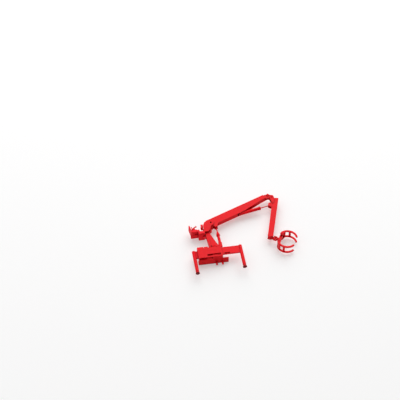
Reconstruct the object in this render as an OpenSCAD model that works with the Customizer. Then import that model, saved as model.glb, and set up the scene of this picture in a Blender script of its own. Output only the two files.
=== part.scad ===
// Scale-model timber loading crane: slewing column, two-part boom, grab, stabiliser legs and high seat.
// Frame: origin in the mounting face on the slew axis, +Z up the column, +X towards the boom.

/* [Boom pose] */
// Angle of the main boom above horizontal, degrees
boom_angle = 22.6; // [10:0.5:40]
// Angle of the outer boom below horizontal, degrees
outer_angle = 106.5; // [96:0.5:116]
// Angle of the grab below horizontal, degrees
grab_angle = 28; // [0:1:90]

/* [Booms] */
// Main boom length from its pivot to the elbow pin, mm
boom_length = 45; // [38:0.5:56]
// Main boom height at the root, mm
boom_height = 5.2; // [4.6:0.1:6]
// Width of the main boom, mm
boom_width = 3; // [2.8:0.1:3.8]
// Outer boom length from the elbow pin to the tip pin, mm
outer_length = 33; // [24:0.5:40]
// Width of the outer boom, mm
outer_width = 2.2; // [2:0.1:2.6]

/* [Column] */
// Height of the boom pivot above the mounting face, mm
pivot_height = 27.85; // [26:0.25:32]
// Thickness of the column, mm
column_thick = 2.2; // [2:0.1:2.6]

/* [Stabilisers] */
// Distance from the slew axis to each leg, mm
leg_reach = 14.3; // [13.8:0.1:18]
// Length of a stabiliser leg tube, mm
leg_length = 15.5; // [14:0.5:20]
// Outer diameter of a leg tube, mm
leg_diameter = 2.1; // [1.8:0.1:2.3]
// Diameter of a foot disc, mm
foot_diameter = 2.6; // [2.4:0.1:4]

/* [Grab] */
// Inside radius of the closed jaws, mm
jaw_radius = 5.1; // [4.5:0.1:6]
// Distance between the two tines of the wide jaw, mm
tine_spacing = 4.6; // [4.4:0.1:5.6]
// Angle each jaw stands open from its closed position, degrees
jaw_open = 12; // [0:1:20]

/* [Pins] */
// Radius of the main pivot pins, mm
pin_radius = 0.6; // [0.5:0.05:0.7]
// Radial clearance of every pin in its moving eye, mm
pin_gap = 0.05; // [0.02:0.01:0.1]
// Side clearance between moving pieces, mm
side_gap = 0.3; // [0.25:0.05:0.4]

/* [Hidden] */
$fn = 40;
eps = 0.01;
// base
base_left = -12.1;
base_depth = 5.8;
box_right = 2.6;
box_front = -base_depth / 2;
box_back = 0.15;
frame_back = 3.9;
base_top = 7.5;
box_wall = 0.5;
beam_thick = 1.0;
beam_gap = 0.1;
beam_low = 1.5;
beam_high = 6.9;
king_depth = 0.4;
slot_left = -6.6;
slot_length = 8.4;
slot_low = 0.8;
slot_height = 1.5;
slot_depth = 1.2;
beam_inner = -3.2;
right_beam_y = box_front + box_wall + beam_gap;
left_beam_y = right_beam_y + beam_thick + beam_gap;
leg_top = 7;
leg_bore = 0.55;
jack_radius = 0.5;
rail_height = 0.8;
rail_right = 6.2;
peg_radius = 0.6;
peg_root = 0.4;
peg_root_length = 1.5;
peg_length = 2.2;
peg_step = 1.8;
peg_y = 2.6;
peg_x = 0.5;
ring_radius = 3;
ring_height = 0.6;
king_radius = 1;
// column
column_base = base_top + ring_height;
pivot_x = -0.35;
cheek_thick = 0.6;
pin_recess = 0.3;
pin_dimple = 0.8;
head_width = boom_width + 2 * side_gap + 2 * cheek_thick;
cheek_y = boom_width / 2 + side_gap;
// lift cylinder
lift_foot_x = 2.9;
lift_foot_z = 10.8;
lift_head = [2, -2.98];
lift_radius = 0.85;
lift_rod_radius = 0.35;
lift_barrel_length = 7.4;
small_pin = 0.35;
lift_window = 0.75;
// main boom
root_back = -3.1;
boom_top = 3.37;
boom_low = boom_top - boom_height;
nose_start = boom_length - 7;
elbow_n = -0.6;
knuckle_u = 20.6;
knuckle_n = -1.75;
slot_width = 2.3;
// outer boom
arm_root = 4.1;
arm_tip = 3.4;
arm_inner = 0.3;
lug_along = 6.5;
lug_in = 0.35;
bracket_thick = 0.5;
lug_thick = 0.44;
lug_inner = 0.65;
knuckle_barrel_length = 13.8;
knuckle_radius = 1;
knuckle_rod_radius = 0.3;
knuckle_window = 1;
// grab
hanger_drop = 3.1;
rotator_radius = 1.05;
shaft_radius = 0.4;
rotator_stack = 2.6;
yoke_pin_step = 0.9;
jaw_back = 3.9;
root_plate = [108, 131];
middle_plate = [74, 87];
yoke_half = 3.1;
yoke_width = 3;
tine_thick = 0.8;
tine_depth = 1;

// A round bar along Y, centred on Y = 0
module y_bar(radius, width) {
  rotate([90, 0, 0]) cylinder(r = radius, h = width, center = true);
}

// A flat outline in X and Z given a width along Y
module y_plate(width, centre_y = 0) {
  translate([0, centre_y + width / 2, 0])
    rotate([90, 0, 0])
      linear_extrude(height = width) children();
}

// Two equal plates either side of the centre plane
module y_pair(thick, inner_y) {
  y_plate(thick, inner_y + thick / 2) children();
  y_plate(thick, -inner_y - thick / 2) children();
}

module on_main_boom() {
  translate([pivot_x, 0, pivot_height])
    rotate([0, -boom_angle, 0]) children();
}

module on_outer_boom() {
  on_main_boom()
    translate([boom_length, 0, elbow_n])
      rotate([0, boom_angle + outer_angle, 0])
        rotate([180, 0, 0]) children();
}

module on_tip() {
  on_outer_boom()
    translate([outer_length, 0, -arm_inner - arm_tip / 2])
      rotate([0, outer_angle - grab_angle, 0])
        rotate([180, 0, 0]) children();
}

// base
module mount_frame() {
  color([0.8, 0.05, 0.08]) {
    difference() {
      union() {
        translate([base_left, box_back + 0.05, 0])
          cube([rail_right - base_left, frame_back - box_back - 0.05, rail_height]);
        translate([-2.9, box_back + 0.05, 0])
          cube([5.5, frame_back - box_back - 0.05, base_top]);
        translate([base_left, frame_back - 0.7, 0])
          cube([-base_left, 0.7, 2.6]);
      }
      translate([0, 0, base_top - king_depth])
        cylinder(r = king_radius, h = 4);
      for (side = [-1, 1])
        translate([peg_x + side * peg_step, peg_y, -1])
          cylinder(r = peg_root, h = 1 + peg_root_length);
    }
  }
}

module mount_pegs() {
  color([0.8, 0.05, 0.08])
    for (side = [-1, 1])
      translate([peg_x + side * peg_step, peg_y, 0]) {
        translate([0, 0, -peg_length]) cylinder(r = peg_radius, h = peg_length);
        cylinder(r = peg_root, h = peg_root_length);
      }
}

module beam_box() {
  color([0.85, 0.06, 0.1])
    difference() {
      translate([base_left, box_front, 0])
        cube([box_right - base_left, box_back - box_front, base_top]);
      translate([base_left - 1, box_front + box_wall, beam_low - beam_gap])
        cube([box_right - base_left + 2, 2 * beam_thick + 3 * beam_gap, beam_high - beam_low + 2 * beam_gap]);
      translate([base_left + 0.6, box_front + 0.6, -1])
        cube([8.2, 1.8, 1 + beam_low]);
      translate([slot_left, box_front - 1, slot_low])
        cube([slot_length, 1 + slot_depth, slot_height]);
      translate([0, 0, base_top - king_depth])
        cylinder(r = king_radius, h = 4);
    }
}

module valve_block() {
  color([0.7, 0.04, 0.07]) {
    translate([-7.6, -0.6, base_top])
      cube([2.4, 2.2, 2.6]);
    for (spool = [0 : 2])
      translate([-7.2 + spool * 0.8, -0.1, base_top + 2.6])
        cylinder(r = 0.25, h = 0.4);
  }
}

module oil_tank() {
  color([0.75, 0.04, 0.08]) {
    difference() {
      translate([-11.8, -0.6, base_top])
        cube([3.9, 2.6, 2.8]);
      translate([-9.85, -0.7, base_top + 1.1])
        y_bar(0.3, 0.6);
    }
    translate([-11, 0.7, base_top + 2.8])
      cylinder(r = 0.5, h = 0.6);
  }
}

module slew_ring() {
  color([0.75, 0.05, 0.08])
    difference() {
      translate([0, 0, base_top])
        cylinder(r = ring_radius, h = ring_height - 0.1);
      translate([0, 0, base_top - 1])
        cylinder(r = king_radius, h = 3);
    }
}

module king_pin() {
  color([0.7, 0.05, 0.08])
    translate([0, 0, base_top - king_depth])
      cylinder(r = king_radius, h = king_depth + ring_height + 1);
}

// stabilisers
module beam_piece(sign, y) {
  end_x = leg_reach - leg_diameter / 2 + 0.4;
  length = sign > 0 ? end_x - beam_inner : end_x + 1.4;
  start = sign > 0 ? beam_inner : -end_x;
  difference() {
    translate([start, y, beam_low])
      cube([length, beam_thick, beam_high - beam_low]);
    translate([sign * leg_reach, y + beam_thick / 2, 0])
      cylinder(r = leg_diameter / 2, h = 12);
    if (sign > 0)
      translate([3.9, y - 1, beam_low - 1])
        cube([3.3, 1.7, 2.1]);
  }
}

module leg_tube(sign, y) {
  translate([sign * leg_reach, y + beam_thick / 2, leg_top - leg_length])
    difference() {
      cylinder(r = leg_diameter / 2, h = leg_length);
      translate([0, 0, -1])
        cylinder(r = leg_bore, h = leg_length);
    }
}

module jack_rod(sign, y) {
  translate([sign * leg_reach, y + beam_thick / 2, leg_top - leg_length - 0.4])
    cylinder(r = jack_radius, h = leg_length - 1);
}

module foot_disc(sign, y) {
  translate([sign * leg_reach, y + beam_thick / 2, leg_top - leg_length - 1.4])
    cylinder(r1 = foot_diameter / 2, r2 = foot_diameter / 2 - 0.3, h = 1);
}

module right_beam() { color([0.9, 0.08, 0.1]) beam_piece(1, right_beam_y); }
module right_leg_tube() { color([0.85, 0.06, 0.1]) leg_tube(1, right_beam_y); }
module right_jack_rod() { color([0.8, 0.05, 0.1]) jack_rod(1, right_beam_y); }
module right_foot() { color([0.75, 0.05, 0.1]) foot_disc(1, right_beam_y); }
module left_beam() { color([0.9, 0.08, 0.1]) beam_piece(-1, left_beam_y); }
module left_leg_tube() { color([0.85, 0.06, 0.1]) leg_tube(-1, left_beam_y); }
module left_jack_rod() { color([0.8, 0.05, 0.1]) jack_rod(-1, left_beam_y); }
module left_foot() { color([0.75, 0.05, 0.1]) foot_disc(-1, left_beam_y); }

// column
module column_post() {
  color([0.9, 0.07, 0.1])
    difference() {
      union() {
        translate([0, 0, column_base])
          cylinder(r = 2.8, h = 1.1);
        y_plate(column_thick)
          polygon([[-3.9, column_base], [-4.2, column_base + 1.6], [-5, 21], [-5.2, 24],
            [-3.4, 24], [-1, 23.6], [-0.4, 23.2], [-0.6, 22.4], [-2.5, 20.9], [0.4, 12.6], [1.3, column_base + 2.4],
            [3.4, column_base + 1.6], [3.4, column_base]]);
        y_plate(column_thick + 1.2)
          polygon([[-4, column_base + 0.6], [-4.5, 15], [-3.5, 15], [-3, column_base + 0.6]]);
        for (side = [-1, 1])
          translate([1.6, side * 1.3 - 0.25, column_base])
            cube([2.2, 0.5, lift_foot_z - column_base + 0.8]);
      }
      translate([0, 0, column_base - 1])
        cylinder(r = king_radius + pin_gap, h = 1 + 1.4);
      translate([lift_foot_x, 0, lift_foot_z])
        y_bar(small_pin, 6);
      translate([lift_foot_x, 0, lift_foot_z])
        y_bar(1.25, 2.1);
      translate([-3, -column_thick / 2, 9.6])
        y_bar(0.5, 2.4);
      translate([-3.9, 0, 23])
        y_bar(0.4, 8);
    }
}

module head_cheeks() {
  color([0.88, 0.06, 0.1]) {
    difference() {
      y_pair(cheek_thick, cheek_y)
        polygon([[-5.4, 21], [-5.5, 26], [-4.4, 28.6], [pivot_x - 1.2, pivot_height + 1.6],
          [pivot_x + 1, pivot_height + 1.7], [pivot_x + 1.9, pivot_height + 0.4],
          [pivot_x + 1.4, pivot_height - 1.6], [-0.8, 25.2], [-1.4, 22.8], [-3, 21]]);
      translate([pivot_x, 0, pivot_height])
        y_bar(pin_radius, 12);
    }
    for (side = [-1, 1])
      translate([-5.2, side * (column_thick / 2 + cheek_y) / 2 - (cheek_y - column_thick / 2) / 2, 21])
        cube([1.6, cheek_y - column_thick / 2, 1.6]);
    translate([-3.9, 0, 23])
      y_bar(0.4, head_width - eps);
  }
}

module boom_pivot_pin() {
  color([0.7, 0.05, 0.08])
    translate([pivot_x, 0, pivot_height])
      difference() {
        y_bar(pin_radius, head_width - 2 * pin_recess);
        for (side = [-1, 1])
          translate([0, side * head_width / 2, 0])
            y_bar(pin_radius - 0.2, 2 * (pin_recess + pin_dimple));
      }
}

module lift_foot_pin() {
  color([0.7, 0.05, 0.08])
    translate([lift_foot_x, 0, lift_foot_z])
      y_bar(small_pin, 3.1);
}

module hose_guard() {
  color([0.75, 0.05, 0.1])
    difference() {
      translate([-6.9, -1.4, 25.4])
        cube([1.4, 2.8, 2.4]);
      translate([-7.4, -0.9, 25.9])
        cube([1.4, 1.8, 3]);
    }
}

// seat
module seat_bracket() {
  color([0.8, 0.05, 0.1]) {
    translate([-11.4, -0.6, 20])
      cube([6.4, 1.2, 1]);
    y_plate(0.8)
      polygon([[-4.8, 16.6], [-6.8, 18.95], [-5.35, 18.95], [-5.35, 20.2], [-5.02, 20.2]]);
  }
}

module foot_plate() {
  color([0.85, 0.1, 0.15])
    difference() {
      translate([-9.2, -3.2, 19])
        cube([3.8, 6.4, 1.9]);
      translate([-8.8, -2.8, 19.5])
        cube([3, 5.6, 3]);
      translate([-9.6, -0.65, 19.95])
        cube([4.8, 1.3, 4]);
    }
}

module seat_pan() {
  color([0.9, 0.1, 0.15]) {
    translate([-13.8, -3.1, 21])
      cube([5.5, 6.2, 1.4]);
    for (side = [-1, 1])
      translate([-12.6, side * 2.8 - 0.25, 22.4])
        cube([2.6, 0.5, 0.5]);
  }
}

module seat_backrest() {
  color([0.9, 0.1, 0.15])
    y_plate(4.4)
      polygon([[-13.8, 22.4], [-14.5, 26.8], [-14.2, 27.3], [-13.7, 27], [-12.9, 22.4]]);
}

module control_console() {
  color([0.8, 0.05, 0.1])
    translate([-13, -3.2, 22.9])
      cube([2, 0.9, 0.9]);
}

module control_levers() {
  color([0.75, 0.05, 0.1]) {
    translate([-12.2, -2.75, 24.12])
      rotate([0, 62, 0]) {
        cylinder(r = 0.35, h = 2.3);
        translate([0, 0, 2.3]) sphere(r = 0.5, $fn = 20);
      }
    translate([-12.7, -2.75, 23.85])
      rotate([0, -10, 0]) {
        cylinder(r = 0.22, h = 1.2);
        translate([0, 0, 1.3]) sphere(r = 0.35, $fn = 20);
      }
  }
}

// lift cylinder
lift_dx = pivot_x + lift_head[0] * cos(boom_angle) - lift_head[1] * sin(boom_angle) - lift_foot_x;
lift_dz = pivot_height + lift_head[0] * sin(boom_angle) + lift_head[1] * cos(boom_angle) - lift_foot_z;
lift_span = sqrt(lift_dx * lift_dx + lift_dz * lift_dz);
lift_tilt = atan2(lift_dx, lift_dz);

module on_lift() {
  translate([lift_foot_x, 0, lift_foot_z])
    rotate([0, lift_tilt, 0]) children();
}

module lift_barrel() {
  color([0.85, 0.06, 0.1])
    on_lift()
      difference() {
        union() {
          y_bar(0.8, 1.5);
          translate([0, 0, 0.4])
            cylinder(r = lift_radius, h = lift_barrel_length - 0.4);
        }
        y_bar(small_pin + pin_gap, 4);
        translate([0, 0, 1.4])
          cylinder(r = lift_rod_radius + pin_gap, h = lift_barrel_length);
      }
}

module lift_gland() {
  color([0.8, 0.05, 0.1])
    on_lift()
      translate([0, 0, lift_barrel_length])
        difference() {
          union() {
            cylinder(r = 1.15, h = 0.9);
            translate([0, 0, 0.9])
              cylinder(r1 = 1.15, r2 = 0.55, h = 2);
          }
          translate([0, 0, -1])
            cylinder(r = lift_rod_radius + pin_gap, h = 6);
        }
}

module lift_rod() {
  color([0.85, 0.08, 0.12])
    on_lift()
      difference() {
        union() {
          translate([0, 0, 3])
            cylinder(r = lift_rod_radius, h = lift_span - 3);
          translate([0, 0, lift_span])
            y_bar(0.6, 0.9);
        }
        translate([0, 0, lift_span])
          y_bar(small_pin, 4);
      }
}

module lift_head_pin() {
  color([0.7, 0.05, 0.08])
    on_lift()
      translate([0, 0, lift_span])
        y_bar(small_pin, boom_width - 1);
}

// main boom
module main_boom() {
  color([0.95, 0.08, 0.1])
    on_main_boom()
      difference() {
        union() {
          y_plate(boom_width)
            polygon([[root_back, -1], [root_back, 1.7], [root_back + 0.7, 2.9], [root_back + 1.8, boom_top],
              [nose_start + 3, boom_top], [nose_start + 3, 0.4], [nose_start, 0.3], [27, -1.2], [24.5, boom_low],
              [4.3, boom_low], [3.3, boom_low - 0.6], [2.9, -3.9], [1.2, -3.9], [0.7, -2.5], [-0.6, -2.1]]);
        }
        y_bar(pin_radius + pin_gap, 12);
        translate([knuckle_u, 0, knuckle_n])
          y_bar(small_pin, 12);
        translate([lift_head[0], 0, lift_head[1]])
          y_bar(lift_window, boom_width - 0.7);
        translate([-0.1, -0.8, -5])
          cube([4.4, 1.6, 3.9]);
        translate([knuckle_u - 1.6, -slot_width / 2, -4])
          cube([nose_start + 4 - knuckle_u + 1.6, slot_width, 4.15]);
      }
}

module boom_nose() {
  color([0.92, 0.07, 0.1])
    on_main_boom()
      difference() {
        union() {
          y_plate(slot_width - 0.3)
            polygon([[nose_start - 3, 0.16], [nose_start - 3, 1.4], [nose_start + 3.01, 1.4],
              [nose_start + 3.01, boom_top - 0.1], [boom_length - 2.6, boom_top - 0.2],
              [boom_length - 0.2, 2], [boom_length + 0.9, 0.6], [boom_length + 1.2, elbow_n],
              [boom_length, elbow_n - 1.3], [boom_length - 1.3, elbow_n - 0.4], [boom_length - 2.4, 0.16]]);
        }
        translate([boom_length, 0, elbow_n])
          y_bar(pin_radius + pin_gap, 12);
        translate([nose_start - 4, -2, 0.15])
          cube([7, 4, boom_top]);
      }
}

module knuckle_root_pin() {
  color([0.7, 0.05, 0.08])
    on_main_boom()
      translate([knuckle_u, 0, knuckle_n])
        y_bar(small_pin, boom_width);
}

module nose_bosses() {
  color([0.8, 0.06, 0.1])
    on_main_boom()
      for (side = [-1, 1])
        translate([boom_length - 1.3, side * (slot_width - 0.3 + 0.5) / 2, 2])
          y_bar(0.8, 0.5);
}

// knuckle cylinder
elbow_x = pivot_x + boom_length * cos(boom_angle) - elbow_n * sin(boom_angle);
elbow_z = pivot_height + boom_length * sin(boom_angle) + elbow_n * cos(boom_angle);
knuckle_x = pivot_x + knuckle_u * cos(boom_angle) - knuckle_n * sin(boom_angle);
knuckle_z = pivot_height + knuckle_u * sin(boom_angle) + knuckle_n * cos(boom_angle);
eye_x = elbow_x + lug_along * cos(outer_angle) - lug_in * sin(outer_angle);
eye_z = elbow_z - lug_along * sin(outer_angle) - lug_in * cos(outer_angle);
knuckle_span = sqrt(pow(eye_x - knuckle_x, 2) + pow(eye_z - knuckle_z, 2));
knuckle_tilt = atan2(eye_z - knuckle_z, eye_x - knuckle_x);

module on_knuckle() {
  translate([knuckle_x, 0, knuckle_z])
    rotate([0, 90 - knuckle_tilt, 0]) children();
}

module knuckle_barrel() {
  color([0.88, 0.07, 0.1])
    on_knuckle()
      difference() {
        union() {
          y_bar(0.75, 1.5);
          translate([0, 0, 0.4])
            cylinder(r = knuckle_radius, h = knuckle_barrel_length - 0.4);
          translate([0, 0, knuckle_barrel_length - 1])
            cylinder(r = knuckle_radius + 0.12, h = 0.7);
        }
        y_bar(small_pin + pin_gap, 4);
        translate([0, 0, 1.4])
          cylinder(r = knuckle_rod_radius + pin_gap, h = knuckle_barrel_length);
      }
}

module knuckle_rod() {
  color([0.85, 0.08, 0.12])
    on_knuckle()
      difference() {
        union() {
          translate([0, 0, 6])
            cylinder(r = knuckle_rod_radius, h = knuckle_span - 6);
          translate([0, 0, knuckle_span])
            y_bar(0.6, 0.9);
        }
        translate([0, 0, knuckle_span])
          y_bar(small_pin, 4);
      }
}

module knuckle_head_pin() {
  color([0.7, 0.05, 0.08])
    on_knuckle()
      translate([0, 0, knuckle_span])
        y_bar(small_pin, 1.7);
}

// outer boom, drawn with X from the elbow pin towards the tip and Z towards the main boom
module outer_boom() {
  color([0.93, 0.08, 0.1])
    on_outer_boom()
      difference() {
        y_plate(outer_width)
          polygon([[1, -arm_inner - 0.5], [2.2, -arm_inner - 0.4], [outer_length - 1.6, -arm_inner - 0.4],
            [outer_length - 1.3, -arm_inner - 0.3 - arm_tip], [0.7, -arm_inner - arm_root],
            [0.4, -arm_inner - arm_root + 0.2], [0.7, -arm_inner - 1.4]]);
        y_bar(1.75, 8);
      }
}

module elbow_brackets() {
  color([0.88, 0.06, 0.1])
    on_outer_boom()
      difference() {
        y_pair(bracket_thick, outer_width / 2)
          polygon([[-1.2, 0.4], [-0.6, 1.2], [0.6, 1.2], [5, -arm_inner - 0.4], [5.6, -arm_inner - 1.2],
            [3.4, -arm_inner - 1.5], [1.4, -arm_inner - 1.6], [-0.6, -1.1], [-1.1, -0.6]]);
        y_bar(pin_radius, 12);
      }
}

module elbow_pin() {
  color([0.7, 0.05, 0.08])
    on_outer_boom()
      y_bar(pin_radius, outer_width + 2 * bracket_thick + 0.8);
}

module knuckle_lugs() {
  color([0.85, 0.06, 0.1])
    on_outer_boom()
      difference() {
        y_pair(lug_thick, lug_inner)
          polygon([[lug_along - 1.7, -arm_inner - 0.4], [lug_along - 1.4, lug_in + 0.8], [lug_along - 0.6, lug_in + 1.2],
            [lug_along + 0.8, lug_in + 1.2], [lug_along + 1.5, lug_in + 0.4], [lug_along + 1.9, -arm_inner - 0.4]]);
        translate([lug_along, 0, lug_in])
          y_bar(knuckle_window, 1.9);
      }
}

module tip_fork() {
  color([0.88, 0.06, 0.1])
    on_outer_boom()
      difference() {
        y_pair(0.5, outer_width / 2)
          polygon([[outer_length - 2.9, -arm_inner - 0.5], [outer_length + 0.4, -arm_inner - 0.3],
            [outer_length + 0.8, -arm_inner - arm_tip / 2 - 0.2], [outer_length + 0.3, -arm_inner - 0.3 - arm_tip],
            [outer_length - 2.6, -arm_inner - 0.3 - arm_tip]]);
        translate([outer_length, 0, -arm_inner - arm_tip / 2])
          y_bar(small_pin, 8);
      }
}

module tip_pin() {
  color([0.7, 0.05, 0.08])
    on_outer_boom()
      translate([outer_length, 0, -arm_inner - arm_tip / 2])
        y_bar(small_pin, outer_width + 1);
}

// hanger, rotator and grab, drawn with X along the grab axis away from the tip pin
module hanger_link() {
  color([0.8, 0.05, 0.1])
    on_tip()
      difference() {
        union() {
          y_bar(0.7, outer_width - 2 * side_gap);
          translate([0, -0.5, -0.45])
            cube([hanger_drop, 1, 0.9]);
          translate([hanger_drop, 0, 0])
            cylinder(r = 0.75, h = 0.9, center = true);
        }
        y_bar(small_pin + pin_gap, 4);
        translate([hanger_drop, 0, 0])
          cylinder(r = small_pin + pin_gap, h = 4, center = true);
      }
}

module cross_pin() {
  color([0.7, 0.05, 0.08])
    on_tip()
      translate([hanger_drop, 0, 0])
        cylinder(r = small_pin, h = 2.6, center = true);
}

module rotator_body() {
  color([0.82, 0.05, 0.1])
    on_tip()
      difference() {
        union() {
          for (side = [-1, 1])
            translate([hanger_drop, 0, side * 1 - 0.25]) {
              cylinder(r = 0.8, h = 0.5);
              translate([0, -0.8, 0])
                cube([1.3, 1.6, 0.5]);
            }
          translate([hanger_drop + 1.15, 0, 0])
            rotate([0, 90, 0]) cylinder(r = rotator_radius, h = 1.2);
        }
        translate([hanger_drop, 0, 0])
          cylinder(r = small_pin, h = 4, center = true);
        translate([hanger_drop + 1.6, 0, 0])
          rotate([0, 90, 0]) cylinder(r = shaft_radius + pin_gap, h = 2);
      }
}

yoke_x = hanger_drop + rotator_stack;
yoke_pin_x = yoke_x + yoke_pin_step;

module rotor_shaft() {
  color([0.7, 0.05, 0.08])
    on_tip()
      translate([hanger_drop + 1.7, 0, 0])
        rotate([0, 90, 0]) cylinder(r = shaft_radius, h = 1.2);
}

module grab_yoke() {
  color([0.86, 0.06, 0.1])
    on_tip()
      difference() {
        y_plate(yoke_width)
          polygon([[yoke_x, -1.4], [yoke_x, 1.4], [yoke_pin_x - 0.7, yoke_half + 0.7],
            [yoke_pin_x + 0.5, yoke_half + 0.9], [yoke_pin_x + 0.9, yoke_half], [yoke_x + 1.5, 1.2],
            [yoke_x + 1.5, -1.2], [yoke_pin_x + 0.9, -yoke_half], [yoke_pin_x + 0.5, -yoke_half - 0.9],
            [yoke_pin_x - 0.7, -yoke_half - 0.7]]);
        translate([yoke_x - 1, 0, 0])
          rotate([0, 90, 0]) cylinder(r = shaft_radius, h = 1.3);
        for (side = [-1, 1])
          translate([yoke_pin_x, 0, side * yoke_half])
            y_bar(small_pin, 8);
      }
}

module jaw_pins() {
  color([0.7, 0.05, 0.08])
    on_tip()
      for (side = [-1, 1])
        translate([yoke_pin_x, 0, side * yoke_half])
          y_bar(small_pin, tine_spacing + tine_thick + 0.6);
}

jaw_centre_x = yoke_pin_x + jaw_back;

// The whole jaw turned open about its own pin, side = 1 for the upper jaw
module open_jaw(side) {
  translate([yoke_pin_x, 0, side * yoke_half])
    rotate([0, -side * jaw_open, 0])
      translate([-yoke_pin_x, 0, -side * yoke_half]) children();
}

// One curved tine
module tine(side, y) {
  reach = atan2(yoke_half, -jaw_back);
  translate([0, y + tine_thick / 2, 0])
    rotate([90, 0, 0])
      linear_extrude(height = tine_thick)
        difference() {
          union() {
            intersection() {
              translate([jaw_centre_x, 0])
                difference() {
                  circle(r = jaw_radius + tine_depth, $fn = 56);
                  circle(r = jaw_radius, $fn = 56);
                }
              translate([jaw_centre_x, 0])
                polygon([[0, 0], [20 * cos(14), side * 20 * sin(14)], [20 * cos(50), side * 20 * sin(50)],
                  [20 * cos(100), side * 20 * sin(100)], [20 * cos(reach - 4), side * 20 * sin(reach - 4)]]);
            }
            translate([yoke_pin_x, side * yoke_half])
              circle(r = 0.95, $fn = 24);
            polygon([[yoke_pin_x - 0.6, side * (yoke_half + 0.75)], [yoke_pin_x + 0.6, side * (yoke_half - 0.75)],
              [jaw_centre_x - 1.8, side * (jaw_radius - 0.3)], [jaw_centre_x - 1.6, side * (jaw_radius + 0.5)]]);
          }
          translate([yoke_pin_x, side * yoke_half])
            circle(r = small_pin + pin_gap, $fn = 40);
        }
}

module upper_tines() {
  color([0.8, 0.05, 0.1])
    on_tip() open_jaw(1) {
      tine(1, tine_spacing / 2);
      tine(1, -tine_spacing / 2);
    }
}

// A curved plate between the two tines of a jaw, from one angle to another
module jaw_shell(side, span) {
  y_plate(tine_spacing - tine_thick)
    intersection() {
      translate([jaw_centre_x, 0])
        difference() {
          circle(r = jaw_radius + tine_depth - 0.15, $fn = 56);
          circle(r = jaw_radius + 0.25, $fn = 56);
        }
      translate([jaw_centre_x, 0])
        polygon([[0, 0], [20 * cos(span[0]), side * 20 * sin(span[0])],
          [20 * cos(span[1]), side * 20 * sin(span[1])]]);
    }
}

module upper_crossbars() {
  color([0.8, 0.05, 0.1])
    on_tip() open_jaw(1) {
      jaw_shell(1, root_plate);
      jaw_shell(1, middle_plate);
    }
}

module lower_tines() {
  color([0.8, 0.05, 0.1])
    on_tip() open_jaw(-1) {
      tine(-1, tine_spacing / 2);
      tine(-1, -tine_spacing / 2);
    }
}

module lower_crossbars() {
  color([0.8, 0.05, 0.1])
    on_tip() open_jaw(-1) {
      jaw_shell(-1, root_plate);
      jaw_shell(-1, middle_plate);
    }
}

mount_frame();
mount_pegs();
beam_box();
valve_block();
oil_tank();
slew_ring();
king_pin();
right_beam();
right_leg_tube();
right_jack_rod();
right_foot();
left_beam();
left_leg_tube();
left_jack_rod();
left_foot();
column_post();
head_cheeks();
boom_pivot_pin();
lift_foot_pin();
hose_guard();
seat_bracket();
foot_plate();
seat_pan();
seat_backrest();
control_console();
control_levers();
lift_barrel();
lift_gland();
lift_rod();
lift_head_pin();
main_boom();
boom_nose();
knuckle_root_pin();
nose_bosses();
knuckle_barrel();
knuckle_rod();
knuckle_head_pin();
outer_boom();
elbow_brackets();
elbow_pin();
knuckle_lugs();
tip_fork();
tip_pin();
hanger_link();
cross_pin();
rotator_body();
rotor_shaft();
grab_yoke();
jaw_pins();
upper_tines();
upper_crossbars();
lower_tines();
lower_crossbars();
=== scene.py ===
import math

import bpy
from mathutils import Matrix, Vector


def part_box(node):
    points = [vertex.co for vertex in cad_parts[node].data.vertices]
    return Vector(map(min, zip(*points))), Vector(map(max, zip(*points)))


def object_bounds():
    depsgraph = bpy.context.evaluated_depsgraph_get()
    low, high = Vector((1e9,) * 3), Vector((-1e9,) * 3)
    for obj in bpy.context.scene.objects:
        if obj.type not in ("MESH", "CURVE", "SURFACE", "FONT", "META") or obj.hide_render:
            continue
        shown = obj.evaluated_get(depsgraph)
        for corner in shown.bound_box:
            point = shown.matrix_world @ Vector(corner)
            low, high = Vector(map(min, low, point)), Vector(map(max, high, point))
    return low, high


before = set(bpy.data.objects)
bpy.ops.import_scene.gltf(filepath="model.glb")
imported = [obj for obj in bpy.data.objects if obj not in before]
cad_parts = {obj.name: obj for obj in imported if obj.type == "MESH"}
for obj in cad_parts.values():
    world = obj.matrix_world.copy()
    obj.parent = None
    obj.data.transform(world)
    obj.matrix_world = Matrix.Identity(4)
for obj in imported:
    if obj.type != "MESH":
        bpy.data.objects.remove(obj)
size_before = [list(c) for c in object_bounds()]

# Lengths and positions are in metres.
TABLE_Y = 0.0041                 # the pale table that the crane lies against
STAGE_HALF = 3.0                 # half the side of the table and floor planes
FLOOR_GAP = 0.00005              # how far the floor is below the feet
EDGE_WIDTH = 0.00009             # rounding of the moulded edges
EDGE_SHARE = 0.12                # the most that the rounding takes of a thin piece
EDGE_ANGLE = 40.0                # degrees; flatter edges stay as they are
PAINTED_SHADE_REACH = 0.0014           # how near a neighbour has to be for painted shade in a crevice
PAINTED_SHADE_TINT = (0.22, 0.1, 0.2)  # what painted shade in a closed crevice leaves of red, green and blue
FLOW_SCALE = 160.0               # size of the flow mottling, as a noise scale
GRAIN_DEPTH = 0.00004            # relief of the fine grain
CAMERA_AT = (-0.0800, -0.5233, -0.4340)
CAMERA_LOOK = (0.1065, 0.7301, 0.6750)
CAMERA_RIGHT = (0.9880, -0.0016, -0.1542)
CAMERA_LENS = 101.8              # millimetres, on a 36 mm sensor
CRANE_CENTRE = (0.015, 0, 0.02)  # what the lights are aimed at

PIN_ENDINGS = ("_pin", "_pins", "_rod", "_pegs", "_shaft")
SEAT_NODES = {"seat_pan", "seat_backrest", "foot_plate",
              "control_console", "control_levers", "seat_bracket"}


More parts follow.
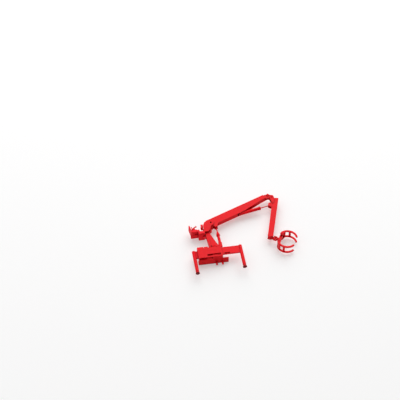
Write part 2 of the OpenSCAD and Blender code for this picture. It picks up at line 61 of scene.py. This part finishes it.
# ---------------------------------------------------------------- materials
def plastic(name, colour, rough, grain=0.06, scale=900.0, streak=0.04):
    """Self-coloured moulded plastic.

    It has slight flow mottling, painted shade in its crevices, a fine grain and an uneven satin
    sheen.
    """
    mat = bpy.data.materials.new(name)
    mat.use_nodes = True
    nt = mat.node_tree
    nodes, links = nt.nodes, nt.links
    shader = nodes["Principled BSDF"]
    coord = nodes.new("ShaderNodeTexCoord")

    flow = nodes.new("ShaderNodeTexNoise")
    flow.inputs["Scale"].default_value = FLOW_SCALE
    flow.inputs["Detail"].default_value = 4.0
    flow.inputs["Distortion"].default_value = 1.2
    links.new(coord.outputs["Object"], flow.inputs["Vector"])
    ramp = nodes.new("ShaderNodeValToRGB")
    ramp.color_ramp.elements[0].position = 0.3
    ramp.color_ramp.elements[1].position = 0.72
    low = [c * (1.0 - 2.2 * streak) for c in colour]
    high = [min(1.0, c * (1.0 + streak) + 0.004) for c in colour]
    ramp.color_ramp.elements[0].color = (*low, 1.0)
    ramp.color_ramp.elements[1].color = (*high, 1.0)
    links.new(flow.outputs["Fac"], ramp.inputs["Fac"])

    # Painted shade: an ambient occlusion node darkens the colour wherever another surface is
    # near, in crevices, between parts and next to the stage planes.
    occlusion = nodes.new("ShaderNodeAmbientOcclusion")
    occlusion.samples = 8
    occlusion.inputs["Distance"].default_value = PAINTED_SHADE_REACH
    shade_share = nodes.new("ShaderNodeMath")
    shade_share.operation = "SUBTRACT"
    shade_share.inputs[0].default_value = 1.0
    shade_share.use_clamp = True
    links.new(occlusion.outputs["AO"], shade_share.inputs[1])
    crevice_shade = nodes.new("ShaderNodeMix")
    crevice_shade.data_type = "RGBA"    # its colour sockets are inputs 6 and 7 and output 2
    links.new(shade_share.outputs[0], crevice_shade.inputs["Factor"])
    links.new(ramp.outputs["Color"], crevice_shade.inputs[6])
    crevice_shade.inputs[7].default_value = (*(c * t for c, t in zip(colour, PAINTED_SHADE_TINT)), 1.0)
    links.new(crevice_shade.outputs[2], shader.inputs["Base Color"])

    fine = nodes.new("ShaderNodeTexNoise")
    fine.inputs["Scale"].default_value = scale
    fine.inputs["Detail"].default_value = 6.0
    links.new(coord.outputs["Object"], fine.inputs["Vector"])
    gloss = nodes.new("ShaderNodeMapRange")
    gloss.inputs["From Min"].default_value = 0.3
    gloss.inputs["From Max"].default_value = 0.7
    gloss.inputs["To Min"].default_value = rough - 0.07
    gloss.inputs["To Max"].default_value = rough + 0.09
    links.new(flow.outputs["Fac"], gloss.inputs["Value"])
    links.new(gloss.outputs["Result"], shader.inputs["Roughness"])

    bump = nodes.new("ShaderNodeBump")
    bump.inputs["Strength"].default_value = grain
    bump.inputs["Distance"].default_value = GRAIN_DEPTH
    links.new(fine.outputs["Fac"], bump.inputs["Height"])
    links.new(bump.outputs["Normal"], shader.inputs["Normal"])

    shader.inputs["Subsurface Weight"].default_value = 0.12
    shader.inputs["Subsurface Scale"].default_value = 0.0006
    shader.inputs["Subsurface Radius"].default_value = (1.0, 0.15, 0.1)
    shader.inputs["Specular IOR Level"].default_value = 0.09
    shader.inputs["IOR"].default_value = 1.53
    return mat


FRAME_RED = plastic("moulded_red", (0.82, 0.002, 0.008), 0.42)
PIN_RED = plastic("pin_red", (0.80, 0.005, 0.012), 0.42, grain=0.03)
# Painted light: the seat red is the frame's red made lighter and pinker for the light that the
# seat's faces catch.
SEAT_RED_PAINTED_LIGHT = plastic("seat_red_painted_light", (0.90, 0.014, 0.026), 0.55, grain=0.16, scale=1600.0)


def pale_stage(name, tone, camera_only, glow=0.0):
    """Pale matt surface, clear from behind so that it never hides the crane.

    With camera_only, light passes through it as well and only the camera sees it.
    """
    mat = bpy.data.materials.new(name)
    mat.use_nodes = True
    nt = mat.node_tree
    nodes, links = nt.nodes, nt.links
    shader = nodes["Principled BSDF"]
    out = nodes["Material Output"]
    shader.inputs["Base Color"].default_value = (*tone, 1.0)
    shader.inputs["Roughness"].default_value = 0.85
    shader.inputs["Specular IOR Level"].default_value = 0.15
    shader.inputs["Emission Color"].default_value = (1.0, 0.998, 0.995, 1.0)
    shader.inputs["Emission Strength"].default_value = glow
    geo = nodes.new("ShaderNodeNewGeometry")
    clear = nodes.new("ShaderNodeBsdfTransparent")
    mix = nodes.new("ShaderNodeMixShader")
    links.new(shader.outputs["BSDF"], mix.inputs[1])
    links.new(clear.outputs["BSDF"], mix.inputs[2])
    if camera_only:
        path = nodes.new("ShaderNodeLightPath")
        unseen = nodes.new("ShaderNodeMath")
        unseen.operation = "SUBTRACT"
        unseen.inputs[0].default_value = 1.0
        links.new(path.outputs["Is Camera Ray"], unseen.inputs[1])
        either = nodes.new("ShaderNodeMath")
        either.operation = "MAXIMUM"
        links.new(unseen.outputs[0], either.inputs[0])
        links.new(geo.outputs["Backfacing"], either.inputs[1])
        links.new(either.outputs[0], mix.inputs["Fac"])
    else:
        links.new(geo.outputs["Backfacing"], mix.inputs["Fac"])
    links.new(mix.outputs["Shader"], out.inputs["Surface"])
    return mat


# ---------------------------------------------------------------- CAD nodes
def material_for(name):
    """The seat group is coarser with painted light; pins and rods are smoother; the rest is
    frame plastic.
    """
    if name in SEAT_NODES:
        return SEAT_RED_PAINTED_LIGHT
    if name.endswith(PIN_ENDINGS):
        return PIN_RED
    return FRAME_RED


def dress(name, obj):
    """Give a CAD node its plastic and slightly rounded edges."""
    obj.data.materials.clear()
    obj.data.materials.append(material_for(name))
    low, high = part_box(name)
    thin = min(high[i] - low[i] for i in range(3))
    soft = obj.modifiers.new("rounded_edges", "BEVEL")
    soft.width = min(EDGE_WIDTH, thin * EDGE_SHARE)
    soft.segments = 2
    soft.limit_method = "ANGLE"
    soft.angle_limit = math.radians(EDGE_ANGLE)
    soft.harden_normals = False


for node_name, node_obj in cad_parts.items():
    dress(node_name, node_obj)


# ---------------------------------------------------------------- stage
def sheet_quad(name, corners, mat):
    """One square of stage, which is no part of the crane."""
    mesh = bpy.data.meshes.new(name)
    mesh.from_pydata(corners, [], [(0, 1, 2, 3)])
    mesh.update()
    obj = bpy.data.objects.new(name, mesh)
    bpy.context.scene.collection.objects.link(obj)
    mesh.materials.append(mat)


SQUARE = [(-1, -1), (1, -1), (1, 1), (-1, 1)]
sheet_quad("table_plane", [(x * STAGE_HALF, TABLE_Y, z * STAGE_HALF) for x, z in SQUARE],
           pale_stage("table_white", (0.63, 0.63, 0.63), False, 0.33))
floor_z = size_before[0][2] - FLOOR_GAP
sheet_quad("floor_plane", [(x * STAGE_HALF, y * STAGE_HALF, floor_z) for x, y in SQUARE],
           pale_stage("floor_white", (0.90, 0.90, 0.90), True))


# ---------------------------------------------------------------- camera and light
cam_data = bpy.data.cameras.new("camera")
cam_data.sensor_width = 36.0
cam_data.lens = CAMERA_LENS
cam_data.clip_start = 0.01
cam_data.clip_end = 20.0
cam = bpy.data.objects.new("camera", cam_data)
bpy.context.scene.collection.objects.link(cam)
look = Vector(CAMERA_LOOK).normalized()
right = Vector(CAMERA_RIGHT)
right = (right - look * right.dot(look)).normalized()
up = right.cross(look)
turn = Matrix((right, up, -look)).transposed().to_4x4()
cam.matrix_world = Matrix.Translation(CAMERA_AT) @ turn
bpy.context.scene.camera = cam


def area_light(name, at, size, power):
    """White square light, aimed at the middle of the crane."""
    data = bpy.data.lights.new(name, "AREA")
    data.shape = "SQUARE"
    data.size = size
    data.energy = power
    obj = bpy.data.objects.new(name, data)
    bpy.context.scene.collection.objects.link(obj)
    aim = (Vector(CRANE_CENTRE) - Vector(at)).normalized()
    obj.matrix_world = Matrix.Translation(at) @ aim.to_track_quat("-Z", "Y").to_matrix().to_4x4()


area_light("key", (0.25, -0.75, 0.75), 1.2, 11.0)
area_light("fill", (-0.55, -0.8, -0.1), 0.9, 1.6)

# The surroundings are darker below the horizon than above it.
world = bpy.data.worlds.new("world")
world.use_nodes = True
sky = world.node_tree
sky_coord = sky.nodes.new("ShaderNodeTexCoord")
sky_split = sky.nodes.new("ShaderNodeSeparateXYZ")
sky_ramp = sky.nodes.new("ShaderNodeValToRGB")
sky_map = sky.nodes.new("ShaderNodeMapRange")
sky_map.inputs["From Min"].default_value = -1.0
sky_map.inputs["From Max"].default_value = 1.0
sky.links.new(sky_coord.outputs["Generated"], sky_split.inputs["Vector"])
sky.links.new(sky_split.outputs["Z"], sky_map.inputs["Value"])
sky.links.new(sky_map.outputs["Result"], sky_ramp.inputs["Fac"])
sky_ramp.color_ramp.elements[0].position = 0.18
sky_ramp.color_ramp.elements[0].color = (0.24, 0.235, 0.235, 1.0)
sky_ramp.color_ramp.elements[1].position = 0.7
sky_ramp.color_ramp.elements[1].color = (0.95, 0.95, 0.95, 1.0)
sky.links.new(sky_ramp.outputs["Color"], sky.nodes["Background"].inputs["Color"])
sky.nodes["Background"].inputs["Strength"].default_value = 0.66
bpy.context.scene.world = world
bpy.context.scene.view_settings.view_transform = "Standard"
bpy.context.scene.view_settings.look = "None"
